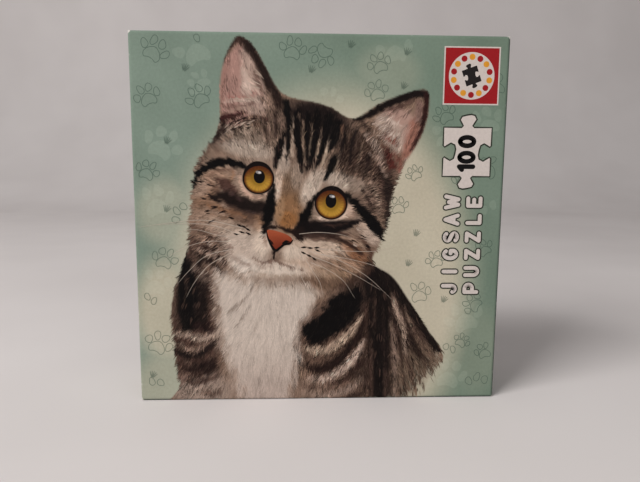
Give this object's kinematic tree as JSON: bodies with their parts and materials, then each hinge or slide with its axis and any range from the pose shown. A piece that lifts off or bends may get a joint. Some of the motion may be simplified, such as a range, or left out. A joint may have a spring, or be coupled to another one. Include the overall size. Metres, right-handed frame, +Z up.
{
  "type": "boxed jigsaw puzzle",
  "caption": "Square lift-off-lid board box with a cat picture on its lid, standing on one side wall, with a clear bag of loose interlocking jigsaw pieces inside.",
  "frame": {"origin": "middle of the closed box's footprint, on the surface that it stands on", "axes": "+Z up, +Y from the lid's picture face to the back of the base, +X to the right as the picture is looked at"},
  "size_m": [0.155, 0.042, 0.155],
  "materials": {
    "greyboard": "matte",
    "lid_paper": "satin",
    "base_paper": "satin",
    "corner_tape": "matte",
    "puzzle_board": "satin",
    "bag_film": "gloss"
  },
  "bodies": {
    "base": {"base_board": "greyboard", "base_wrap": "base_paper", "base_corner_stays": "corner_tape"},
    "lid": {"lid_board": "greyboard", "lid_wrap": "lid_paper", "lid_corner_stays": "corner_tape"},
    "bag": {"piece_bag": "bag_film", "puzzle_row_01": "puzzle_board", "puzzle_row_02": "puzzle_board", "puzzle_row_03": "puzzle_board", "puzzle_row_04": "puzzle_board", "puzzle_row_05": "puzzle_board", "puzzle_row_06": "puzzle_board", "puzzle_row_07": "puzzle_board", "puzzle_row_08": "puzzle_board", "puzzle_row_09": "puzzle_board", "puzzle_row_10": "puzzle_board"}
  },
  "joints": [
    {"name": "lid_lift", "type": "slide", "parent": "base", "child": "lid", "axis": [0, -1, 0], "range_m": [0, 0.065]},
    {"name": "bag_lift", "type": "slide", "parent": "base", "child": "bag", "axis": [0, -1, 0], "range_m": [0, 0.039]}
  ],
  "couplings": [
    {"joint": "bag_lift", "follows": "lid_lift", "ratio": 0.6}
  ]
}
